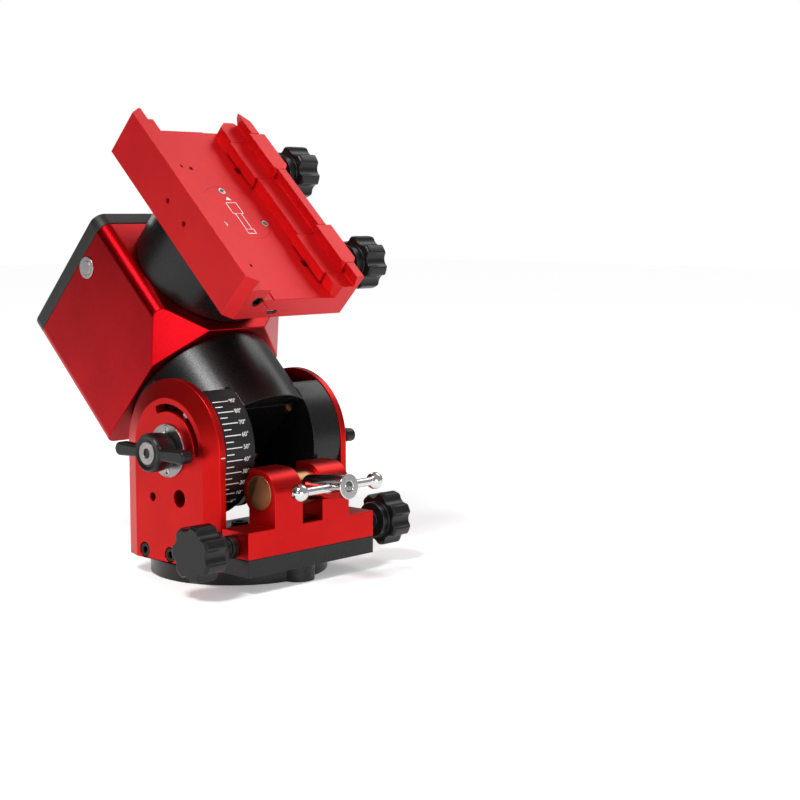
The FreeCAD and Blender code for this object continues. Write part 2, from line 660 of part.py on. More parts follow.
def saddle_plate():
    """Fixed left jaw, floor and right rail, with a pocket for each clamp block."""
    near, far = DEC_U - SADDLE_HALF_L, DEC_U + SADDLE_HALF_L
    profile = [(SADDLE_LEFT, SADDLE_V), (SADDLE_RIGHT, SADDLE_V), (SADDLE_RIGHT, LIP_V), (44.5, LIP_V),
               (48.0, LEDGE_V), (30.3, LEDGE_V), (32.6, RELIEF_V), (21.7, RELIEF_V), (21.7, FLOOR_V),
               (-21.7, FLOOR_V), (-21.7, RELIEF_V), (-32.6, RELIEF_V), (-30.3, LEDGE_V), (-48.5, LEDGE_V),
               (-46.0, LIP_V), (SADDLE_LEFT, LIP_V)]
    plate = across(profile, near, far)
    cuts = []
    for end, inward in ((near, 1), (far, -1)):
        corner = [V(SADDLE_LEFT - 1, end - inward, SADDLE_V - 1),
                  V(SADDLE_LEFT + 9.2, end - inward, SADDLE_V - 1),
                  V(SADDLE_LEFT - 1, end + inward * 5.4, SADDLE_V - 1)]
        cuts.append(prism(corner, Z * 50))
        lip = [V(28, end - inward, RELIEF_V), V(37.6, end - inward, RELIEF_V),
               V(28, end + inward * 7.0, RELIEF_V)]
        cuts.append(prism(lip, Z * 15))
    cuts.append(prism([V(SADDLE_RIGHT + 1, far + 1, SADDLE_V - 1), V(45.4, far + 1, SADDLE_V - 1),
                       V(SADDLE_RIGHT + 1, far - 9.5, SADDLE_V - 1)], Z * 50))
    for u in CLAMP_U:
        start, end = u - CLAMP_L / 2 - 0.1, u + CLAMP_L / 2 + 0.1
        pocket = [(40.5, 108.0), (60, 108.0), (60, 150), (26, 150), (26, RELIEF_V), (33.3, RELIEF_V),
                  (33.3, 125.2), (40.5, 125.2)]
        cuts.append(across(pocket, start, end))
        cuts.append(tube(CLAMP_SCREW_R + RUN, 28, 41, X, V(0, u, CLAMP_V)))
    cuts.append(tube(DISC_R, FLOOR_V - 3, FLOOR_V + 0.8, Z, V(0, DEC_U, 0)))
    for x, u in disc_screw_places():
        cuts.append(tube(2, 108, FLOOR_V - 3, Z, V(x, u, 0)))
    for u in (DEC_U - 11.6, DEC_U + 11.6):
        cuts.append(tube(2.1, SADDLE_LEFT, SADDLE_LEFT + 10, X, V(0, u, FLOOR_V)))
    cuts += [tube(4.4, near, near + 13, Y, V(-37.0, 0, 119.0)), usb_slot(near, near + 9.5, 4.9, 1.9)]
    for x, u, top in ((-34.5, 148.6, LEDGE_V), (-34.5, 49.6, LEDGE_V), (-14.4, 157.5, FLOOR_V)):
        cuts.append(tube(1.6, top - 7, top, Z, V(x, u, 0)))
    return in_head(plate.cut(cuts))


def disc_screw_places():
    places = []
    for angle in (90, 210, 330):
        turn = math.radians(angle)
        places.append((DISC_SCREW_AT * math.cos(turn), DEC_U + DISC_SCREW_AT * math.sin(turn)))
    return places


def saddle_disc():
    """Round plate let into the saddle's floor over the declination axis."""
    disc = tube(DISC_R - 0.1, FLOOR_V - 3, FLOOR_V, Z, V(0, DEC_U, 0))
    for x, u in disc_screw_places():
        at = V(x, u, 0)
        disc = disc.cut([tube(2, FLOOR_V - 3, FLOOR_V, Z, at), tube(3.4, FLOOR_V - 2, FLOOR_V, Z, at)])
    return in_head(disc)


def saddle_disc_screws():
    screws = []
    for x, u in disc_screw_places():
        at = V(x, u, 0)
        screw = one([tube(2, 109, FLOOR_V - 2, Z, at), tube(3.2, FLOOR_V - 2, FLOOR_V, Z, at)])
        screws.append(screw.cut(tube(1.3, FLOOR_V - 1.2, FLOOR_V, Z, at)))
    return in_head(group(screws))


def usb_slot(start, end, half, radius):
    """Flat round-ended slot of a USB-C opening, along u."""
    flat = half - radius
    x, v = -17.4, 108.3
    ends = [tube(radius, start, end, Y, V(x + side * flat, 0, v)) for side in (-1, 1)]
    return one([block(x - flat, x + flat, start, end, v - radius, v + radius)] + ends)


def dc_jack():
    """Round power inlet with its centre pin."""
    near = DEC_U - SADDLE_HALF_L
    at = V(-37.0, 0, 119.0)
    barrel = tube(4.3, near + 0.6, near + 12, Y, at).cut(tube(3.2, near + 0.6, near + 10, Y, at))
    return in_head(one([barrel, tube(0.9, near + 2, near + 11, Y, at)]))


def usb_c_port():
    near = DEC_U - SADDLE_HALF_L
    shell = usb_slot(near + 0.6, near + 9, 4.8, 1.8).cut(usb_slot(near + 0.5, near + 7.5, 4.3, 1.3))
    tongue = block(-17.4 - 3.2, -17.4 + 3.2, near + 1.2, near + 8, 108.3 - 0.35, 108.3 + 0.35)
    return in_head(one([shell, tongue]))


def clamp_block(u):
    start, end = u - CLAMP_L / 2, u + CLAMP_L / 2
    profile = [(28.3, LEDGE_V), (30.3, 120.8), (32.9, 120.8), (32.9, 125.5), (46.0, 125.5), (46.0, 108.3),
               (CLAMP_OUT, 108.3), (CLAMP_OUT, LIP_V), (41.9, LIP_V), (45.4, LEDGE_V)]
    body = across(profile, start, end)
    corner = prism([V(CLAMP_OUT + 1, start - 1, 100), V(CLAMP_OUT - 5.6, start - 1, 100),
                    V(CLAMP_OUT + 1, start + 5.6, 100)], Z * 50)
    lip = prism([V(26, start - 1, LEDGE_V), V(45.8, start - 1, LEDGE_V), V(41.0, start + 4, LEDGE_V),
                 V(26, start + 4, LEDGE_V)], Z * 20)
    return in_head(body.cut([corner, lip, tube(CLAMP_SCREW_R + RUN, 40, 60, X, V(0, u, CLAMP_V))]))


def clamp_knob(u):
    screw = one([tube(CLAMP_SCREW_R, 34, 60, X), tube(8, CLAMP_OUT + 0.1, 62, X), tube(6, 62, 71, X),
                 tube(13, 71, KNOB_IN, X), lobed_knob(KNOB_IN, KNOB_OUT)])
    screw.translate(V(0, u, CLAMP_V))
    return in_head(screw)


# ---- parts ----
def main():
    os.makedirs("parts", exist_ok=True)
    drive = drive_pieces()
    pieces = {
        "base_plate": base_plate(), "azimuth_peg": azimuth_peg(), "cradle_floor": cradle_floor(),
        "pivot_bolt": pivot_bolt(), "arm_right": arm(), "arm_left": mirrored(arm()),
        "arm_bolts": arm_bolts(), "trunnion_bushes": trunnion_bushes(),
        "trunnion_covers": trunnion_covers(),
        "trunnion_cover_screws": cover_screws(), "altitude_bracket": altitude_bracket(),
        "lock_lever_right": lock_lever(), "lock_lever_left": mirrored(lock_lever()),
        "lever_screw_right": lever_screw(), "lever_screw_left": mirrored(lever_screw()),
        "azimuth_pusher_right": azimuth_pusher(), "azimuth_pusher_left": mirrored(azimuth_pusher()),
        "azimuth_knob_right": azimuth_knob(), "azimuth_knob_left": mirrored(azimuth_knob()),
        "front_barrel": front_barrel(), "altitude_screw": lead_screw(), "tee_bar": tee_bar(),
        "altitude_nut": altitude_nut(), "ra_housing": ra_housing(), "latitude_scale": latitude_scale(),
        "trunnion_pins": trunnion_pins(), "limit_pins": limit_pins(), "ra_end_plate": ra_end_plate(),
        "end_plate_screws": end_plate_screws(), "head_block": head_block(), "back_cover": back_cover(),
        "back_cover_screws": back_cover_screws(), "control_board": control_board(),
        "button_bezel": button_bezel(), "button_cap": button_cap(), "dec_drum": dec_drum(),
        "saddle_plate": saddle_plate(), "saddle_disc": saddle_disc(),
        "saddle_disc_screws": saddle_disc_screws(), "dc_jack": dc_jack(), "usb_c_port": usb_c_port(),
    }
    for name, shape in drive.items():
        pieces["ra_" + name] = ra_drive(shape)
        pieces["dec_" + name] = dec_drive(shape)
    for name, u in zip(("near", "far"), CLAMP_U):
        pieces["clamp_block_" + name] = clamp_block(u)
        pieces["clamp_knob_" + name] = clamp_knob(u)
    for name, shape in pieces.items():
        save(name, shape)
    print(len(pieces), "parts")


main()
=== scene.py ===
"""Star tracker mount: shapes, finishes and stage of the visible pieces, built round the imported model."""
import json
import math

import bmesh
import bpy
from mathutils import Matrix, Vector


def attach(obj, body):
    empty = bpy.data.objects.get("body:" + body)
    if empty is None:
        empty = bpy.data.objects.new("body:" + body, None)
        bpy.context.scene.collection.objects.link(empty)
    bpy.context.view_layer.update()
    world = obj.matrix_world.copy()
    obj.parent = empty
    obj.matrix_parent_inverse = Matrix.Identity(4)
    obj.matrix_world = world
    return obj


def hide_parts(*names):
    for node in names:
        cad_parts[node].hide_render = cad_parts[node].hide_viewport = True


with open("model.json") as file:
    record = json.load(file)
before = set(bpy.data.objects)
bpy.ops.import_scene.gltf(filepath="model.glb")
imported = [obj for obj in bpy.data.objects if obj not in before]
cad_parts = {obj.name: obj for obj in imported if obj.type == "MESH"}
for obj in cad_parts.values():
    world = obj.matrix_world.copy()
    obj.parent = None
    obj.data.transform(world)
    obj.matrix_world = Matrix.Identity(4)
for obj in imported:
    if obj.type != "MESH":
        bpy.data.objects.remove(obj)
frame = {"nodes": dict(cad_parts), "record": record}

bl_info = {
    "name": "Star tracker mount",
    "version": (1, 0, 0),
    "blender": (4, 5, 0),
    "location": "View3D > Sidebar > Mount",
    "description": "Builds the visible pieces of an equatorial star tracker mount round its CAD frame",
    "category": "Add Mesh",
}

# Sizes are in millimetres unless a comment says otherwise.
MM = 0.001
LATITUDE = math.radians(43.5)
AXIS_H = 92.0              # altitude axis above the underside
DEC_U = 112.1              # declination axis along the right ascension axis
FLOOR_V = 120.2            # saddle floor above the right ascension axis
DRUM_R = 49.5              # altitude drum that carries the latitude marks
SCALE_LEFT = -54.6         # outer edge of the latitude strip
SCALE_GAP = 1.0            # from the strip's edge to a mark, and from a mark to its figure
SCALE_OFFSET = 1.24        # a mark m stands at m less this, from the drum's front
PAINT = 0.09               # half the thickness of a filled mark
ARM_R = 49.8               # rim of the arm that faces the drum
DRIFT = 38.0               # width of the slow change of tone over a finish

ALONG_X = Vector((1, 0, 0))
ALTITUDE_AXIS = Vector((0, 0, AXIS_H * MM))
BARREL_AXIS = Vector((0, -0.0615, 0.0655))     # metres; the brass barrel turns about x here

TILT = Matrix.Translation(ALTITUDE_AXIS) @ Matrix.Rotation(LATITUDE, 4, "X")
TO_MOUNT = TILT @ Matrix.Diagonal((MM, MM, MM, 1))      # (x, u, v) of the housing, in mm, to the mount


# ---- colour and material helpers ----
def linear(code):
    """Linear RGBA of an sRGB hex colour."""
    channels = [int(code[i:i + 2], 16) / 255 for i in (1, 3, 5)]
    return [c / 12.92 if c <= 0.04045 else ((c + 0.055) / 1.055) ** 2.4 for c in channels] + [1.0]


def add(tree, kind, inputs=None, **settings):
    """Add a node with its settings; an input is a value or another node's output."""
    made = tree.nodes.new(kind)
    for key, value in settings.items():
        setattr(made, key, value)
    for key, value in (inputs or {}).items():
        if isinstance(value, bpy.types.NodeSocket):
            tree.links.new(value, made.inputs[key])
        else:
            made.inputs[key].default_value = value
    return made


def finish(name, low, high, grain_mm, bump_mm, metallic, rough, spread=0.06, **shader):
    """A surface whose tone runs between two colours, with fine grain in roughness and height."""
    material = bpy.data.materials.new(name)
    material.use_nodes = True
    tree = material.node_tree
    tree.nodes.clear()
    place = add(tree, "ShaderNodeTexCoord").outputs["Object"]
    grain = add(tree, "ShaderNodeTexNoise",
                {"Vector": place, "Scale": 1 / (grain_mm * MM), "Detail": 3.0, "Roughness": 0.6})
    drift = add(tree, "ShaderNodeTexNoise", {"Vector": place, "Scale": 1 / (DRIFT * MM), "Detail": 2.0})
    blend = add(tree, "ShaderNodeMath", {0: grain.outputs["Fac"], 1: drift.outputs["Fac"]},
                operation="ADD")
    tone = add(tree, "ShaderNodeMapRange", {"Value": blend.outputs[0], "From Min": 0.7, "From Max": 1.3})
    colour = add(tree, "ShaderNodeMix",
                 {"Factor": tone.outputs["Result"], "A": linear(low), "B": linear(high)},
                 data_type="RGBA")
    uneven = add(tree, "ShaderNodeMapRange",
                 {"Value": grain.outputs["Fac"], "From Min": 0.3, "From Max": 0.7,
                  "To Min": rough - spread, "To Max": rough + spread})
    relief = add(tree, "ShaderNodeBump",
                 {"Height": grain.outputs["Fac"], "Strength": 1.0, "Distance": bump_mm * MM})
    surface = add(tree, "ShaderNodeBsdfPrincipled",
                  {"Base Color": colour.outputs["Result"], "Metallic": metallic,
                   "Roughness": uneven.outputs["Result"], "Normal": relief.outputs["Normal"], **shader})
    add(tree, "ShaderNodeOutputMaterial", {"Surface": surface.outputs["BSDF"]})
    return material


def turned(name, low, high, groove_mm, rough, streak):
    """Metal faced on a lathe: rings round the piece's own polar map, and the streak they give."""
    material = bpy.data.materials.new(name)
    material.use_nodes = True
    tree = material.node_tree
    tree.nodes.clear()
    polar = add(tree, "ShaderNodeUVMap", uv_map="polar").outputs["UV"]
    split = add(tree, "ShaderNodeSeparateXYZ", {"Vector": polar})
    rings = add(tree, "ShaderNodeTexNoise",
                {"W": split.outputs["Y"], "Scale": 1 / groove_mm, "Detail": 2.0}, noise_dimensions="1D")
    colour = add(tree, "ShaderNodeMix",
                 {"Factor": rings.outputs["Fac"], "A": linear(low), "B": linear(high)}, data_type="RGBA")
    relief = add(tree, "ShaderNodeBump",
                 {"Height": rings.outputs["Fac"], "Strength": 0.5, "Distance": 0.02 * MM})
    along = add(tree, "ShaderNodeTangent", direction_type="UV_MAP", uv_map="polar")
    surface = add(tree, "ShaderNodeBsdfPrincipled",
                  {"Base Color": colour.outputs["Result"], "Metallic": 1.0, "Roughness": rough,
                   "Anisotropic": streak, "Normal": relief.outputs["Normal"],
                   "Tangent": along.outputs["Tangent"]})
    add(tree, "ShaderNodeOutputMaterial", {"Surface": surface.outputs["BSDF"]})
    return material


MATERIALS = {}


def make_materials():
    """One material for each finish, named for what it is."""
    made = {
        # Anodised aluminium, bead blasted first: coloured satin metal with a broad soft highlight.
        # The blast grit is under 0.1 mm and is drawn at 0.9 mm so that it shows.
        "anodised_red": finish("anodised_red", "#bd0e0e", "#cb1615", 0.9, 0.006, 0.9, 0.34),
        "anodised_red_deep": finish("anodised_red_deep", "#a60a13", "#b50f18", 0.9, 0.006, 1.0, 0.32),
        # The same, milled and not blasted: duller, with less of a metal's reflection.
        "anodised_red_milled": finish("anodised_red_milled", "#bd0b12", "#ca1217", 0.9, 0.005, 0.55, 0.42),
        # Black anodised aluminium: near black, silky, with a grey sheen at grazing light.
        "anodised_black": finish("anodised_black", "#080808", "#0c0c0d", 0.8, 0.006, 0.0, 0.30,
                                 **{"Specular IOR Level": 0.34}),
        # Glass-filled nylon, moulded: dull charcoal with a slight pebble.
        "moulded_nylon": finish("moulded_nylon", "#0a0a0b", "#101011", 0.7, 0.02, 0.0, 0.35,
                                **{"Specular IOR Level": 0.34}),
        # Plastic cover moulded with a fine spark texture: dark grey, duller than the nylon.
        "textured_cover": finish("textured_cover", "#1a1b1a", "#222321", 0.8, 0.02, 0.0, 0.46,
                                 **{"Specular IOR Level": 0.4}),
        # Stainless steel, machined: neutral bright metal, slightly soft.
        "stainless_steel": finish("stainless_steel", "#a8a6a2", "#c2c0bd", 0.6, 0.004, 1.0, 0.30),
        # Polished steel: clear reflections with hardly any grain.
        "polished_steel": finish("polished_steel", "#c9c8c6", "#d8d7d6", 1.4, 0.001, 1.0, 0.14, 0.03),
        # Black oxide steel: oily black with a short highlight.
        "black_oxide": finish("black_oxide", "#151515", "#202020", 0.7, 0.004, 0.6, 0.36),
        # Brass, turned: warm yellow metal.
        "turned_brass": finish("turned_brass", "#a9794a", "#c09060", 0.6, 0.004, 1.0, 0.30),
        # Bare aluminium, turned: pale and satin.
        "turned_aluminium": finish("turned_aluminium", "#b9babc", "#cccdd0", 0.6, 0.004, 1.0, 0.36),
        # Bearing and gear steel, ground.
        "ground_steel": finish("ground_steel", "#96979a", "#abadb0", 0.5, 0.003, 1.0, 0.28),
        # Neoprene belt: matt black rubber with a woven back.
        "neoprene_belt": finish("neoprene_belt", "#101010", "#1a1a1a", 0.8, 0.05, 0.0, 0.75),
        # Circuit board lacquer: glossy green over a copper pattern.
        "board_lacquer": finish("board_lacquer", "#0c3a20", "#14502c", 2.5, 0.01, 0.0, 0.30),
        # Tin plated shell of a socket.
        "tin_plate": finish("tin_plate", "#8f9092", "#a6a7a9", 0.6, 0.003, 1.0, 0.32),
        # Dark grey anodised strip under the marks.
        "scale_grey": finish("scale_grey", "#0e0e0f", "#151516", 0.8, 0.004, 0.0, 0.42,
                              **{"Specular IOR Level": 0.4}),
        # White filling paint of the engraved marks: matt, a little uneven.
        "white_fill": finish("white_fill", "#dedede", "#f2f2f2", 0.7, 0.004, 0.0, 0.55),
        # Brass and steel faced on a lathe: fine rings that draw a highlight out into a fan. Such
        # rings are typically 0.1 mm apart and are drawn at about 0.3 mm so that they show.
        "lathe_brass": turned("lathe_brass", "#9a6c42", "#c8946a", 0.35, 0.34, 0.75),
        "lathe_steel": turned("lathe_steel", "#8d8986", "#b5b0ad", 0.30, 0.36, 0.6),
    }
    MATERIALS.update(made)


# ---- mesh helpers ----
def piece(name, mesh, material, body, nodes=()):
    """A finished piece at the origin that rides on a body and may stand for CAD nodes."""
    shown = bpy.data.objects.new(name, mesh)
    bpy.context.scene.collection.objects.link(shown)
    mesh.materials.clear()
    mesh.materials.append(MATERIALS[material])
    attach(shown, body)
    if nodes:
        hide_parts(*nodes)
    return shown


def plain(obj):
    """The object's evaluated mesh; the object itself is removed."""
    bpy.context.view_layer.update()
    graph = bpy.context.evaluated_depsgraph_get()
    mesh = bpy.data.meshes.new_from_object(obj.evaluated_get(graph), depsgraph=graph)
    bpy.data.objects.remove(obj)
    return mesh


def smooth(mesh, angle):
    """Shade smooth, apart from edges sharper than an angle in degrees."""
    mesh.polygons.foreach_set("use_smooth", [True] * len(mesh.polygons))
    mesh.set_sharp_from_angle(angle=math.radians(angle))


def rounded(mesh, width_mm, segments=2, angle=30, shortest=0.0, outer_only=False, milled=False):
    """The mesh with the edges rounded that are sharper than an angle and not under a length."""
    carrier = bpy.data.objects.new("carrier", mesh)
    bpy.context.scene.collection.objects.link(carrier)
    smooth(mesh, 180)
    weigh_edges(mesh, math.radians(angle), shortest * MM, outer_only)
    bevel = carrier.modifiers.new("edges", "BEVEL")
    bevel.width = width_mm * MM
    bevel.segments = segments
    bevel.limit_method = "WEIGHT"
    bevel.use_clamp_overlap = False
    if milled:              # flat faces meet at crisp edges, with nothing blended between them
        made = plain(carrier)
        made.shade_flat()
        return made
    even = carrier.modifiers.new("even", "WEIGHTED_NORMAL")
    even.mode = "FACE_AREA_WITH_ANGLE"
    even.weight = 80
    even.keep_sharp = True
    return plain(carrier)


def weigh_edges(mesh, angle, shortest, outer_only):
    """Mark the edges to round, and keep the other sharp ones crisp."""
    work = bmesh.new()
    work.from_mesh(mesh)
    weight = work.edges.layers.float.new("bevel_weight_edge")
    for edge in work.edges:
        sharp = len(edge.link_faces) == 2 and edge.calc_face_angle(0.0) > angle
        wanted = sharp and edge.calc_length() >= shortest and (edge.is_convex or not outer_only)
        edge[weight] = 1.0 if wanted else 0.0
        edge.smooth = wanted or not sharp
    work.to_mesh(mesh)
    work.free()


def merged(node):
    """A copy of a CAD node's mesh with its loose triangles joined and its flat faces made whole."""
    mesh = frame["nodes"][node].data.copy()
    work = bmesh.new()
    work.from_mesh(mesh)
    bmesh.ops.remove_doubles(work, verts=work.verts, dist=2e-6)
    bmesh.ops.dissolve_limit(work, angle_limit=math.radians(0.5), verts=work.verts, edges=work.edges)
    work.to_mesh(mesh)
    work.free()
    return mesh


def body_of(node):
    """The body that a CAD node belongs to."""
    for body, nodes in frame["record"]["behaviour"]["bodies"].items():
        if node in nodes:
            return body
    raise RuntimeError("no body holds " + node)


def softened(node, material, width_mm, segments=2, shortest=0.0, angle=30, outer_only=False, milled=False):
    """Stand in for a CAD node with the same shape, its edges broken as on the real piece."""
    mesh = rounded(merged(node), width_mm, segments, angle, shortest, outer_only, milled)
    return piece(node + "_finished", mesh, material, body_of(node), [node])


def kept(node, material):
    """Give a CAD node its finish and leave its shape alone."""
    shown = frame["nodes"][node]
    shown.data.materials.clear()
    shown.data.materials.append(MATERIALS[material])


def from_work(name, work):
    """A mesh from a bmesh, which is freed."""
    mesh = bpy.data.meshes.new(name)
    work.to_mesh(mesh)
    work.free()
    return mesh


def wall(work, low, high):
    """Faces between two closed rings that have as many points."""
    for i, here in enumerate(low):
        j = (i + 1) % len(low)
        work.faces.new((here, low[j], high[j], high[i]))


def prism(points, low, high):
    """Closed prism in x over an outline of (y, z) points, in millimetres."""
    work = bmesh.new()
    rings = [[work.verts.new((x, y, z)) for y, z in points] for x in (low, high)]
    wall(work, *rings)
    work.faces.new(rings[0])
    work.faces.new(rings[1])
    bmesh.ops.recalc_face_normals(work, faces=work.faces)
    return work


# ---- sizes and colours a user may change ----
class MountSizes(bpy.types.PropertyGroup):
    edge: bpy.props.FloatProperty(
        name="Broken edge", description="Rounding of machined edges, in millimetres",
        default=0.5, min=0.1, max=1.5)
    knob_edge: bpy.props.FloatProperty(
        name="Knob edge", description="Rounding of moulded knobs, in millimetres",
        default=0.8, min=0.2, max=2.0)
    major_tick: bpy.props.FloatProperty(
        name="Ten degree mark", description="Length of a ten degree mark, in millimetres",
        default=14.0, min=4, max=20)
    minor_tick: bpy.props.FloatProperty(
        name="Five degree mark", description="Length of a five degree mark, in millimetres",
        default=6.7, min=2, max=14)
    line: bpy.props.FloatProperty(
        name="Mark width", description="Width of the filled marks, in millimetres",
        default=0.62, min=0.2, max=1.5)
    figure: bpy.props.FloatProperty(
        name="Figure height", description="Height of the latitude figures, in millimetres",
        default=3.3, min=1.5, max=5)


class MountStage(bpy.types.PropertyGroup):
    floor: bpy.props.FloatVectorProperty(
        name="Floor", description="Colour of the floor", subtype="COLOR", size=4,
        default=linear("#f4f4f4"), min=0, max=1)
    key_light: bpy.props.FloatProperty(
        name="Key light", description="Power of the main softbox", default=26.0, min=0, subtype="POWER")
    lens: bpy.props.FloatProperty(
        name="Lens", description="Focal length of the camera, in millimetres",
        default=74.6, min=20, max=200)


# ---- pieces ----
class MOUNT_OT_head(bpy.types.Operator):
    """Head block, its moulded back cover and the button"""
    bl_idname = "mount.head"
    bl_label = "Head block"

    def execute(self, context):
        edge = context.scene.mount_sizes.edge
        softened("head_block", "anodised_red_deep", edge + 0.3, segments=3)
        softened("back_cover", "textured_cover", edge + 0.4, segments=3)
        softened("button_bezel", "stainless_steel", 0.35)
        softened("button_cap", "stainless_steel", 0.4)
        softened("dec_drum", "anodised_black", edge)
        return {"FINISHED"}


MILLED_SHORTEST = 2.5      # edges shorter than this, as at the sockets, stay crisp


class MOUNT_OT_saddle(bpy.types.Operator):
    """Saddle plate, its round centre plate, sockets and the two clamp blocks"""
    bl_idname = "mount.saddle"
    bl_label = "Saddle"

    def execute(self, context):
        edge = context.scene.mount_sizes.edge
        softened("saddle_plate", "anodised_red_milled", edge * 0.7, shortest=MILLED_SHORTEST, milled=True)
        softened("saddle_disc", "anodised_red_milled", 0.15)
        for end in ("near", "far"):
            softened("clamp_block_" + end, "anodised_red_milled", edge * 0.6,
                     shortest=MILLED_SHORTEST, milled=True)
        kept("dc_jack", "moulded_nylon")
        kept("usb_c_port", "tin_plate")
        return {"FINISHED"}


PICTOGRAM = (              # telescope seen from above: outlines of (x, u) points from the disc's middle
    ((-4.3, 10.0), (5.1, 10.0), (5.1, -1.1), (-4.3, -1.1)),
    ((-2.3, -1.1), (3.1, -1.1), (3.1, -17.2), (-2.3, -17.2)),
    ((-2.8, -17.2), (4.4, -17.2), (4.4, -21.4), (-2.8, -21.4)),
)
ARROW = ((-2.2, 12.7), (2.8, 12.7), (0.7, 16.1))
PRINT = (-0.05, 0.06)      # bottom and top of the paint, from the disc's face


class MOUNT_OT_pictogram(bpy.types.Operator):
    """White outline of a telescope on the centre plate, and the arrow to its front"""
    bl_idname = "mount.pictogram"
    bl_label = "Pictogram"

    def execute(self, context):
        line = context.scene.mount_sizes.line * 0.85     # finer than the latitude marks
        work = bmesh.new()

        def slab(corners):
            rings = [[work.verts.new((x, DEC_U + u, FLOOR_V + v)) for x, u in corners] for v in PRINT]
            work.faces.new(rings[0][::-1])
            work.faces.new(rings[1])
            wall(work, *rings)

        for outline in PICTOGRAM:
            for a, b in zip(outline, outline[1:] + outline[:1]):
                a, b = Vector(a), Vector(b)
                along = (b - a).normalized() * line / 2
                aside = Vector((-along.y, along.x))
                slab((a - along - aside, b + along - aside, b + along + aside, a - along + aside))
        slab(ARROW)
        bmesh.ops.recalc_face_normals(work, faces=work.faces)
        bmesh.ops.transform(work, matrix=TO_MOUNT, verts=work.verts)
        piece("pictogram", from_work("pictogram", work), "white_fill", "saddle")
        return {"FINISHED"}


class MOUNT_OT_knobs(bpy.types.Operator):
    """Star knobs of the clamps and of the azimuth screws"""
    bl_idname = "mount.knobs"
    bl_label = "Star knobs"

    def execute(self, context):
        edge = context.scene.mount_sizes.knob_edge
        for node in ("clamp_knob_near", "clamp_knob_far", "azimuth_knob_left", "azimuth_knob_right"):
            softened(node, "moulded_nylon", edge, segments=3)
        return {"FINISHED"}


class MOUNT_OT_cradle(bpy.types.Operator):
    """Arms, ears, turning floor and base"""
    bl_idname = "mount.cradle"
    bl_label = "Cradle and base"

    def execute(self, context):
        edge = context.scene.mount_sizes.edge
        for node in ("arm_left", "arm_right", "altitude_bracket"):
            softened(node, "anodised_red", edge, segments=3, angle=16)
        for node in ("cradle_floor", "base_plate"):
            softened(node, "anodised_black", edge)
        covers = rounded(merged("trunnion_covers"), 0.4)
        polar_map(covers, ALTITUDE_AXIS, ALONG_X)
        piece("trunnion_covers_finished", covers, "lathe_steel", "cradle", ["trunnion_covers"])
        kept("trunnion_bushes", "turned_brass")
        kept("azimuth_peg", "ground_steel")
        kept("pivot_bolt", "black_oxide")
        for side in ("left", "right"):
            kept("azimuth_pusher_" + side, "ground_steel")
        return {"FINISHED"}


def polar_map(mesh, centre, axis):
    """A map named polar: turns round the axis, and millimetres from it."""
    layer = mesh.uv_layers.new(name="polar")
    across = axis.orthogonal().normalized()
    other = axis.cross(across)
    for face in mesh.polygons:
        start = None
        for loop in face.loop_indices:
            place = mesh.vertices[mesh.loops[loop].vertex_index].co - centre
            x, y = place.dot(across), place.dot(other)
            turn = math.atan2(y, x) / (2 * math.pi)
            if start is None:
                start = turn
            turn += round(start - turn)
            layer.data[loop].uv = (turn, math.hypot(x, y) / MM)


LEVER_HUB = 13.6           # radius of the hub
LEVER_FRONT = 38.1         # reach of the front wing from the axis
LEVER_BACK = 37.1
LEVER_IN = 73.4            # inner and outer faces of the wings
LEVER_OUT = 82.8
WING_ROOT = 3.7            # half height of a wing where it starts
WING_FLARE = 1.4           # added to that by the wing's tip
FLARE_POWER = 1.5
FILLET = 3.2               # softening where wing and hub meet
TIP_LENGTH = 6.0           # last part of a wing, which the fillet leaves alone
HUB_PROFILE = (            # (x, radius) of the ring round the screw head and the boss under it
    (66.6, 4.1), (66.6, 11.6), (68.0, 12.4), (71.5, 13.2), (80.0, 13.6), (82.6, 13.2),
    (83.6, 12.2), (83.6, 10.6), (82.9, 9.6), (78.7, 8.6), (78.7, 4.1))


class MOUNT_OT_levers(bpy.types.Operator):
    """Winged lock levers with their steel cap screws"""
    bl_idname = "mount.levers"
    bl_label = "Lock levers"

    def half_height(self, y):
        """Half height of the lever at y, front towards -y."""
        reach = LEVER_FRONT if y < 0 else LEVER_BACK
        along = min(abs(y) / reach, 1.0)
        wing = WING_ROOT + WING_FLARE * along ** FLARE_POWER
        tip = reach - abs(y)
        if tip < wing:
            wing = math.sqrt(max(wing * wing - (wing - tip) ** 2, 0.0))
        hub = math.sqrt(max(LEVER_HUB ** 2 - y * y, 0.0))
        near = max(FILLET - abs(hub - wing), 0.0) / FILLET
        return max(hub, wing) + near * near * FILLET / 4 if tip > TIP_LENGTH else wing

    def execute(self, context):
        stations = []
        steps = 96
        for i in range(steps + 1):
            across = (1 - math.cos(math.pi * i / steps)) / 2
            stations.append(-LEVER_FRONT + across * (LEVER_FRONT + LEVER_BACK))
        upper = [(y, AXIS_H + self.half_height(y)) for y in stations]
        lower = [(y, AXIS_H - self.half_height(y)) for y in reversed(stations[1:-1])]
        for side, name in ((-1, "left"), (1, "right")):
            faces = sorted((LEVER_IN * side, LEVER_OUT * side))
            wings = prism(upper + lower, *faces)
            bmesh.ops.scale(wings, vec=(MM, MM, MM), verts=wings.verts)
            lever = rounded(from_work("wings", wings), 1.7, segments=3, angle=40)
            body = "lever_" + name
            piece("lever_wings_" + name, lever, "moulded_nylon", body,
                  ["lock_lever_" + name])
            piece("lever_hub_" + name, lathe(HUB_PROFILE, side), "moulded_nylon", body)
            screw = rounded(merged("lever_screw_" + name), 0.5, segments=3)
            polar_map(screw, ALTITUDE_AXIS, ALONG_X)
            piece("lever_screw_finished_" + name, screw, "lathe_steel", body,
                  ["lever_screw_" + name])
        return {"FINISHED"}


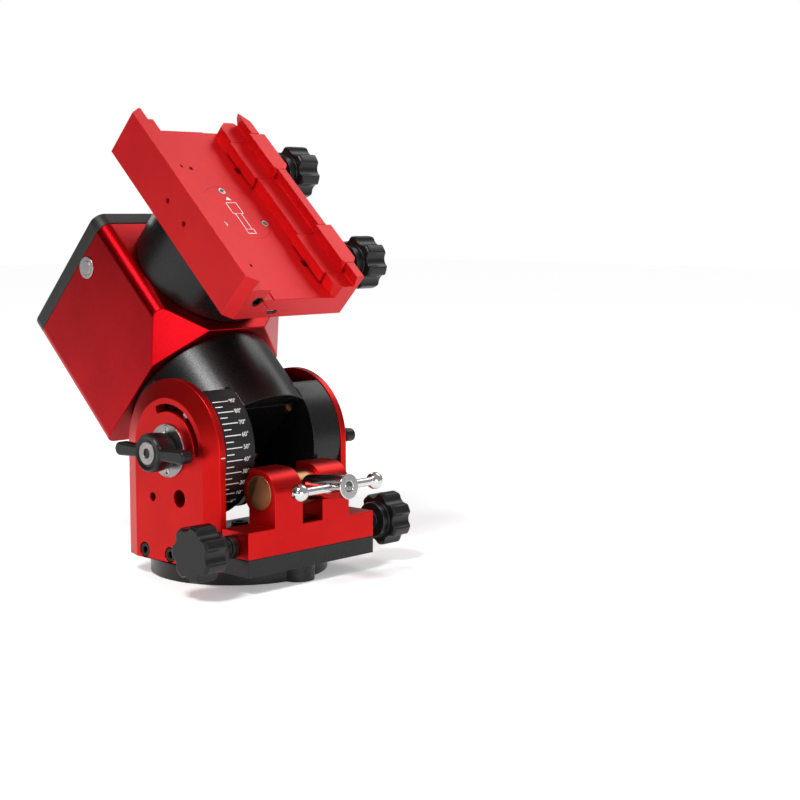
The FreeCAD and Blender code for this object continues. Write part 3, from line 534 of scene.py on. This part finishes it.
def lathe(profile, side, steps=64):
    """Solid of revolution on the altitude axis, from (x, radius) points, to the left with side -1."""
    work = bmesh.new()
    rings = []
    for i in range(steps):
        turn = 2 * math.pi * i / steps
        rings.append([work.verts.new((x * side * MM, r * math.cos(turn) * MM,
                                      (AXIS_H + r * math.sin(turn)) * MM)) for x, r in profile])
    count = len(profile)
    for i in range(steps):
        here, there = rings[i], rings[(i + 1) % steps]
        for j in range(count):
            k = (j + 1) % count
            work.faces.new((here[j], there[j], there[k], here[k]))
    bmesh.ops.recalc_face_normals(work, faces=work.faces)
    mesh = from_work("lathe", work)
    smooth(mesh, 40)
    return mesh


class MOUNT_OT_altitude_screw(bpy.types.Operator):
    """Brass barrel in the ears, polished screw, cross bar and nut"""
    bl_idname = "mount.altitude_screw"
    bl_label = "Altitude screw"

    def execute(self, context):
        barrel = rounded(merged("front_barrel"), 0.35)
        polar_map(barrel, BARREL_AXIS, ALONG_X)
        piece("front_barrel_finished", barrel, "lathe_brass", "barrel", ["front_barrel"])
        softened("altitude_screw", "polished_steel", 0.5, segments=3)
        softened("tee_bar", "polished_steel", 0.3)
        kept("altitude_nut", "turned_brass")
        return {"FINISHED"}


class MOUNT_OT_housing(bpy.types.Operator):
    """Right ascension housing with its end plate and latitude strip"""
    bl_idname = "mount.housing"
    bl_label = "Right ascension housing"

    def execute(self, context):
        softened("ra_housing", "anodised_black", context.scene.mount_sizes.edge, outer_only=True)
        softened("ra_end_plate", "anodised_black", 0.3)
        kept("latitude_scale", "scale_grey")
        kept("trunnion_pins", "ground_steel")
        kept("limit_pins", "ground_steel")
        return {"FINISHED"}


def realised(tree, placed, material):
    """End a tree with its instances made real, in a material."""
    real = add(tree, "GeometryNodeRealizeInstances", {"Geometry": placed.outputs["Instances"]})
    painted = add(tree, "GeometryNodeSetMaterial",
                  {"Geometry": real.outputs["Geometry"], "Material": material})
    end = add(tree, "NodeGroupOutput")
    tree.links.new(painted.outputs["Geometry"], end.inputs["Geometry"])
    return tree


def tick_tree(material):
    """Node tree that lays marks round the drum at equal angles."""
    tree = bpy.data.node_groups.new("latitude marks", "GeometryNodeTree")
    tree.interface.new_socket("Count", in_out="INPUT", socket_type="NodeSocketInt")
    for name in ("First", "Step", "Length", "Width", "Left", "Radius"):
        tree.interface.new_socket(name, in_out="INPUT", socket_type="NodeSocketFloat")
    tree.interface.new_socket("Geometry", in_out="OUTPUT", socket_type="NodeSocketGeometry")
    given = add(tree, "NodeGroupInput").outputs
    middle = add(tree, "ShaderNodeMath", {0: given["Length"], 1: 0.5, 2: given["Left"]},
                 operation="MULTIPLY_ADD")
    start = add(tree, "ShaderNodeCombineXYZ", {"X": middle.outputs[0]})
    line = add(tree, "GeometryNodeMeshLine",
               {"Count": given["Count"], "Start Location": start.outputs[0], "Offset": (0, 0, 0)})
    size = add(tree, "ShaderNodeCombineXYZ", {"X": given["Length"], "Y": 2 * PAINT * MM, "Z": given["Width"]})
    mark = add(tree, "GeometryNodeMeshCube", {"Size": size.outputs[0]})
    out = add(tree, "ShaderNodeMath", {0: given["Radius"], 1: -1.0}, operation="MULTIPLY")
    shift = add(tree, "ShaderNodeCombineXYZ", {"Y": out.outputs[0]})
    at_rim = add(tree, "GeometryNodeTransform",
                 {"Geometry": mark.outputs["Mesh"], "Translation": shift.outputs[0]})
    index = add(tree, "GeometryNodeInputIndex")
    angle = add(tree, "ShaderNodeMath", {0: index.outputs[0], 1: given["Step"], 2: given["First"]},
                operation="MULTIPLY_ADD")
    turn = add(tree, "ShaderNodeCombineXYZ", {"X": angle.outputs[0]})
    placed = add(tree, "GeometryNodeInstanceOnPoints",
                 {"Points": line.outputs["Mesh"], "Instance": at_rim.outputs["Geometry"],
                  "Rotation": turn.outputs[0]})
    return realised(tree, placed, material)


def run_tree(tree, values):
    """Plain mesh that a node tree makes with these named inputs."""
    carrier = bpy.data.objects.new("carrier", bpy.data.meshes.new("carrier"))
    bpy.context.scene.collection.objects.link(carrier)
    modifier = carrier.modifiers.new("tree", "NODES")
    modifier.node_group = tree
    for item in tree.interface.items_tree:
        if item.in_out == "INPUT" and item.name in values:
            modifier[item.identifier] = values[item.name]
    return plain(carrier)


FONT_RATIO = 1.36          # font size for a figure of unit height
INDEX_LENGTH = 3.6         # line on the arm that the marks are read against
INDEX_X = -57.4
INDEX_DROP = 1.3           # below the altitude axis


class MOUNT_OT_latitude_marks(bpy.types.Operator):
    """Filled marks and figures round the left drum, and the index line on the arm"""
    bl_idname = "mount.latitude_marks"
    bl_label = "Latitude marks"

    def execute(self, context):
        sizes = context.scene.mount_sizes
        tree = tick_tree(MATERIALS["white_fill"])
        sets = (("major", 10, sizes.major_tick, 0), ("minor", 9, sizes.minor_tick, 5))
        for name, count, length, first in sets:
            mesh = run_tree(tree, {
                "Count": count, "First": -math.radians(first - SCALE_OFFSET), "Step": -math.radians(10),
                "Length": length * MM, "Width": sizes.line * MM, "Left": (SCALE_LEFT + SCALE_GAP) * MM,
                "Radius": DRUM_R * MM})
            self.set_down("latitude_marks_" + name, mesh)
        self.figures(sizes)
        self.index_line(sizes)
        return {"FINISHED"}

    def set_down(self, name, mesh):
        """From the housing's own axes to the mount's."""
        mesh.transform(TILT)
        piece(name, mesh, "white_fill", "ra_body")

    def figures(self, sizes):
        """Figures with a degree ring, bent round the drum."""
        work = bmesh.new()
        for mark in range(0, 100, 10):
            letters = bpy.data.curves.new("figure", "FONT")
            letters.body = "%d°" % mark
            letters.size = sizes.figure * FONT_RATIO
            letters.extrude = PAINT
            letters.align_x = "LEFT"
            letters.align_y = "CENTER"
            letters.resolution_u = 4
            holder = bpy.data.objects.new("figure", letters)
            bpy.context.scene.collection.objects.link(holder)
            mesh = plain(holder)
            left = SCALE_LEFT + SCALE_GAP + sizes.major_tick + SCALE_GAP
            for vertex in mesh.vertices:
                x, up, out = vertex.co
                angle = math.radians(mark - SCALE_OFFSET) + up / DRUM_R
                radius = DRUM_R + out
                vertex.co = ((left + x) * MM, -radius * math.cos(angle) * MM, radius * math.sin(angle) * MM)
            work.from_mesh(mesh)
        bmesh.ops.remove_doubles(work, verts=work.verts, dist=1e-7)
        self.set_down("latitude_figures", from_work("figures", work))

    def index_line(self, sizes):
        """Line on the inner rim of the left arm that the marks are read against."""
        work = bmesh.new()
        bmesh.ops.create_cube(work, size=1.0)
        bmesh.ops.scale(work, vec=(INDEX_LENGTH * MM, 0.2 * MM, sizes.line * MM), verts=work.verts)
        bmesh.ops.translate(work, vec=(INDEX_X * MM, -ARM_R * MM, (AXIS_H - INDEX_DROP) * MM),
                            verts=work.verts)
        piece("index_line", from_work("index_line", work), "white_fill", "cradle")


# ---- screws ----
def screw_tree(material):
    """Node tree that sets a screw head on each point, along the point's normal."""
    tree = bpy.data.node_groups.new("screw heads", "GeometryNodeTree")
    tree.interface.new_socket("Geometry", in_out="INPUT", socket_type="NodeSocketGeometry")
    tree.interface.new_socket("Head", in_out="INPUT", socket_type="NodeSocketObject")
    tree.interface.new_socket("Scale", in_out="INPUT", socket_type="NodeSocketFloat")
    tree.interface.new_socket("Geometry", in_out="OUTPUT", socket_type="NodeSocketGeometry")
    given = add(tree, "NodeGroupInput").outputs
    head = add(tree, "GeometryNodeObjectInfo", {"Object": given["Head"]})
    way = add(tree, "GeometryNodeInputNamedAttribute", {"Name": "out"}, data_type="FLOAT_VECTOR")
    aim = add(tree, "FunctionNodeAlignRotationToVector", {"Vector": way.outputs["Attribute"]}, axis="Z")
    placed = add(tree, "GeometryNodeInstanceOnPoints",
                 {"Points": given["Geometry"], "Instance": head.outputs["Geometry"],
                  "Rotation": aim.outputs["Rotation"], "Scale": given["Scale"]})
    return realised(tree, placed, material)


def socket_head(height, recess=0.52, rim=0.09, steps=36):
    """Screw head of unit radius that stands on z = 0, with a hex socket."""
    work = bmesh.new()
    depth = height * 0.55
    chamfer = 0.08, 0.06        # width and depth where the top turns down into the socket

    def ring(radius, z, hexed=False):
        made = []
        for i in range(steps):
            turn = 2 * math.pi * i / steps
            r = radius
            if hexed:
                r = radius * math.cos(math.pi / 6) / math.cos((turn % (math.pi / 3)) - math.pi / 6)
            made.append(work.verts.new((r * math.cos(turn), r * math.sin(turn), z)))
        return made

    rings = [ring(1.0, 0), ring(1.0, height - rim), ring(1 - rim * 0.3, height - rim * 0.3),
             ring(1 - rim, height), ring(recess + chamfer[0], height),
             ring(recess, height - chamfer[1], True), ring(recess, height - depth, True)]
    work.faces.new(rings[0][::-1])
    for low, high in zip(rings, rings[1:]):
        wall(work, low, high)
    work.faces.new(rings[-1])
    bmesh.ops.recalc_face_normals(work, faces=work.faces)
    mesh = from_work("socket_head", work)
    smooth(mesh, 35)
    return mesh


def to_head(x, u, v):
    """A point of the housing's own axes in the mount's."""
    return TO_MOUNT @ Vector((x, u, v))


def way_head(x, u, v):
    """A direction of the housing's own axes in the mount's."""
    return (TO_MOUNT.to_3x3() @ Vector((x, u, v))).normalized()


ARM_FACE = 59.0            # outer face of an arm's foot, and its three bolts
ARM_BOLT_Z = 18.3
ARM_BOLT_GAP = 28
COVER_FACE = 64.7          # outer face of a steel disc, and its two screws
COVER_SCREW_R = 14.7
PLATE_U = -5               # seats of the end plate's four screws
PLATE_X = 21.5
PLATE_V = (-14.0, 38.5)
BACK_U = 171.8             # seats of the back cover's four screws
BACK_X = 54.5
BACK_V = (-49.5, 52.0)
DISC_SCREW_R = 22.4        # circle of the saddle disc's three screws
DISC_SEAT = 2              # depth of their seats


def screw_sets():
    """Radius, height, material and (place, way) pairs of each set's heads, by CAD node."""
    out = {-1: Vector((-1, 0, 0)), 1: Vector((1, 0, 0))}
    arm = [(Vector((ARM_FACE * s, y, ARM_BOLT_Z)) * MM, out[s])
           for s in (-1, 1) for y in (-ARM_BOLT_GAP, 0, ARM_BOLT_GAP)]
    cover = [(Vector((COVER_FACE * s, 0, AXIS_H + z)) * MM, out[s])
             for s in (-1, 1) for z in (-COVER_SCREW_R, COVER_SCREW_R)]
    plate = [(to_head(x, PLATE_U, v), way_head(0, -1, 0)) for x in (-PLATE_X, PLATE_X) for v in PLATE_V]
    back = [(to_head(x, BACK_U, v), way_head(0, 1, 0)) for x in (-BACK_X, BACK_X) for v in BACK_V]
    disc = []
    for angle in (90, 210, 330):
        turn = math.radians(angle)
        disc.append((to_head(DISC_SCREW_R * math.cos(turn), DEC_U + DISC_SCREW_R * math.sin(turn),
                             FLOOR_V - DISC_SEAT), way_head(0, 0, 1)))
    return {
        "arm_bolts": (5.0, 5.2, "black_oxide", arm),
        "trunnion_cover_screws": (3.1, 1.5, "stainless_steel", cover),
        "end_plate_screws": (2.8, 1.4, "turned_brass", plate),
        "back_cover_screws": (3.0, 2.8, "black_oxide", back),
        "saddle_disc_screws": (3.2, 2.0, "stainless_steel", disc),
    }


class MOUNT_OT_screws(bpy.types.Operator):
    """Socket head screws of every visible set"""
    bl_idname = "mount.screws"
    bl_label = "Screws"

    def execute(self, context):
        for node, (radius, height, material, places) in screw_sets().items():
            prototype = bpy.data.objects.new("head", socket_head(height / radius))
            bpy.context.scene.collection.objects.link(prototype)
            points = bpy.data.meshes.new("points")
            points.from_pydata([place for place, way in places], [], [])
            ways = points.attributes.new("out", "FLOAT_VECTOR", "POINT")
            for i, (place, way) in enumerate(places):
                ways.data[i].vector = way
            carrier = bpy.data.objects.new("carrier", points)
            bpy.context.scene.collection.objects.link(carrier)
            modifier = carrier.modifiers.new("tree", "NODES")
            modifier.node_group = screw_tree(MATERIALS[material])
            for item in modifier.node_group.interface.items_tree:
                if item.in_out == "INPUT" and item.name == "Head":
                    modifier[item.identifier] = prototype
                if item.in_out == "INPUT" and item.name == "Scale":
                    modifier[item.identifier] = radius * MM
            mesh = plain(carrier)
            bpy.data.objects.remove(prototype)
            piece(node + "_heads", mesh, material, body_of(node), [node])
        return {"FINISHED"}


class MOUNT_OT_drives(bpy.types.Operator):
    """Finishes of the two drives and the circuit board, which the shells hide"""
    bl_idname = "mount.drives"
    bl_label = "Drives"

    def execute(self, context):
        finishes = {"motor": "black_oxide", "motor_pulley": "turned_aluminium",
                    "wave_generator": "turned_aluminium", "belt": "neoprene_belt",
                    "circular_spline": "ground_steel", "bearing": "ground_steel",
                    "flexspline": "ground_steel"}
        for axis in ("ra_", "dec_"):
            for part, material in finishes.items():
                kept(axis + part, material)
        kept("control_board", "board_lacquer")
        return {"FINISHED"}


# ---- stage: distances in metres ----
FLOOR_HALF = 6.0
GLOW_FROM = (0.4, 1.6)     # the floor's glow grows between these distances from the middle
FLOOR_GLOW = (0.3, 0.72)
SKY_WAY = (0.45, -0.6, 0.66)       # the room is brightest this way, up and to the right in front
SKY_FROM = (-0.6, 0.9)     # how far towards that way it is darkest and brightest
SKY_GLOW = (0.04, 0.4)
SOFTBOXES = (              # name, place, side, share of the key light's power
    ("key", (1.2, -0.05, 1.3), 0.9, 0.21),
    ("strip", (-0.80, -0.30, 1.25), 0.35, 0.55),
    ("front", (-0.5, -1.35, 0.12), 0.7, 0.30),
    ("side", (-1.7, -0.5, 0.55), 0.7, 0.08),
    ("rim", (0.5, 1.3, 0.9), 0.9, 0.3),
)
AIM = Vector((0, 0.03, 0.17))      # the softboxes face this point
CAMERA_ROUND = 46.87       # degrees to the left of the front
CAMERA_UP = 6.47           # degrees above level
CAMERA_BACK = 1.19865      # from the middle of the altitude axis
CAMERA_SHIFT = (-0.11689, -0.02977)        # of that middle in the view, to the right and up
SENSOR = 36.0              # millimetres


class MOUNT_OT_stage(bpy.types.Operator):
    """Pale floor, soft lights and the camera"""
    bl_idname = "mount.stage"
    bl_label = "Stage"

    def execute(self, context):
        stage = context.scene.mount_stage
        self.sweep(stage)
        self.lights(stage)
        self.camera(stage)
        return {"FINISHED"}

    def sweep(self, stage):
        """White paper, lit from all round and more so further out, as in a light tent."""
        material = bpy.data.materials.new("paper_sweep")
        material.use_nodes = True
        tree = material.node_tree
        tree.nodes.clear()
        place = add(tree, "ShaderNodeTexCoord").outputs["Object"]
        fibre = add(tree, "ShaderNodeTexNoise", {"Vector": place, "Scale": 60.0, "Detail": 3.0})
        uneven = add(tree, "ShaderNodeMapRange",
                     {"Value": fibre.outputs["Fac"], "To Min": 0.75, "To Max": 0.9})
        radius = add(tree, "ShaderNodeVectorMath", {0: place}, operation="LENGTH").outputs["Value"]
        glow = self.ramp(tree, radius, GLOW_FROM, FLOOR_GLOW)
        surface = add(tree, "ShaderNodeBsdfPrincipled",
                      {"Base Color": tuple(stage.floor), "Roughness": uneven.outputs["Result"],
                       "Emission Color": (1, 1, 1, 1), "Emission Strength": glow})
        add(tree, "ShaderNodeOutputMaterial", {"Surface": surface.outputs["BSDF"]})
        work = bmesh.new()
        bmesh.ops.create_grid(work, x_segments=1, y_segments=1, size=FLOOR_HALF)
        floor = bpy.data.objects.new("floor", from_work("floor", work))
        floor.data.materials.append(material)
        bpy.context.scene.collection.objects.link(floor)

    def ramp(self, tree, value, span, result):
        """A value that runs over a span, mapped to run over the result."""
        mapped = add(tree, "ShaderNodeMapRange", {"Value": value, "From Min": span[0], "From Max": span[1],
                                                  "To Min": result[0], "To Max": result[1]})
        return mapped.outputs["Result"]

    def lights(self, stage):
        """A soft glow from all round, white behind the floor, and the softboxes."""
        world = bpy.data.worlds.new("studio")
        bpy.context.scene.world = world
        world.use_nodes = True
        tree = world.node_tree
        background = tree.nodes["Background"]
        background.inputs["Color"].default_value = (1, 1, 1, 1)
        way = add(tree, "ShaderNodeTexCoord").outputs["Generated"]
        facing = add(tree, "ShaderNodeVectorMath", {0: way, 1: SKY_WAY}, operation="DOT_PRODUCT")
        glow = self.ramp(tree, facing.outputs["Value"], SKY_FROM, SKY_GLOW)
        seen = add(tree, "ShaderNodeLightPath").outputs["Is Camera Ray"]
        strength = add(tree, "ShaderNodeMix", {"Factor": seen, "A": glow, "B": 1.0})
        tree.links.new(strength.outputs["Result"], background.inputs["Strength"])
        for name, place, size, share in SOFTBOXES:
            lamp = bpy.data.lights.new(name, "AREA")
            lamp.size = size
            lamp.energy = stage.key_light * share
            holder = bpy.data.objects.new(name, lamp)
            holder.location = place
            holder.visible_camera = False
            holder.rotation_euler = (AIM - Vector(place)).to_track_quat("-Z", "Y").to_euler()
            bpy.context.scene.collection.objects.link(holder)
        bpy.context.scene.view_settings.view_transform = "Standard"

    def camera(self, stage):
        """A camera to the left of the front, a little above level."""
        azimuth, elevation = math.radians(CAMERA_ROUND), math.radians(CAMERA_UP)
        aside, above = CAMERA_SHIFT
        back = Vector((-math.sin(azimuth) * math.cos(elevation), -math.cos(azimuth) * math.cos(elevation),
                       math.sin(elevation)))
        right = Vector((math.cos(azimuth), -math.sin(azimuth), 0))
        up = back.cross(right)
        place = back * CAMERA_BACK - right * aside - up * above + ALTITUDE_AXIS
        turn = Matrix((right, up, back)).transposed()
        lens = bpy.data.cameras.new("camera")
        lens.lens = stage.lens
        lens.sensor_width = SENSOR
        holder = bpy.data.objects.new("camera", lens)
        holder.matrix_world = Matrix.Translation(place) @ turn.to_4x4()
        bpy.context.scene.collection.objects.link(holder)
        bpy.context.scene.camera = holder


STEPS = (MOUNT_OT_head, MOUNT_OT_saddle, MOUNT_OT_pictogram, MOUNT_OT_knobs, MOUNT_OT_cradle,
         MOUNT_OT_levers, MOUNT_OT_altitude_screw, MOUNT_OT_housing, MOUNT_OT_latitude_marks,
         MOUNT_OT_screws, MOUNT_OT_drives, MOUNT_OT_stage)


class MOUNT_PT_panel(bpy.types.Panel):
    """Lists the sizes and the steps"""
    bl_idname = "MOUNT_PT_panel"
    bl_label = "Star tracker mount"
    bl_space_type = "VIEW_3D"
    bl_region_type = "UI"
    bl_category = "Mount"

    def draw(self, context):
        for group in (context.scene.mount_sizes, context.scene.mount_stage):
            for name in group.__annotations__:
                self.layout.prop(group, name)
        for step in STEPS:
            self.layout.operator(step.bl_idname)


CLASSES = (MountSizes, MountStage) + STEPS + (MOUNT_PT_panel,)


def register():
    for each in CLASSES:
        bpy.utils.register_class(each)
    bpy.types.Scene.mount_sizes = bpy.props.PointerProperty(type=MountSizes)
    bpy.types.Scene.mount_stage = bpy.props.PointerProperty(type=MountStage)


def unregister():
    del bpy.types.Scene.mount_stage
    del bpy.types.Scene.mount_sizes
    for each in reversed(CLASSES):
        bpy.utils.unregister_class(each)


def main():
    """Build everything."""
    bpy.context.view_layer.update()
    register()
    make_materials()
    for step in STEPS:
        group, name = step.bl_idname.split(".")
        getattr(getattr(bpy.ops, group), name)()


if __name__ == "__main__":
    main()
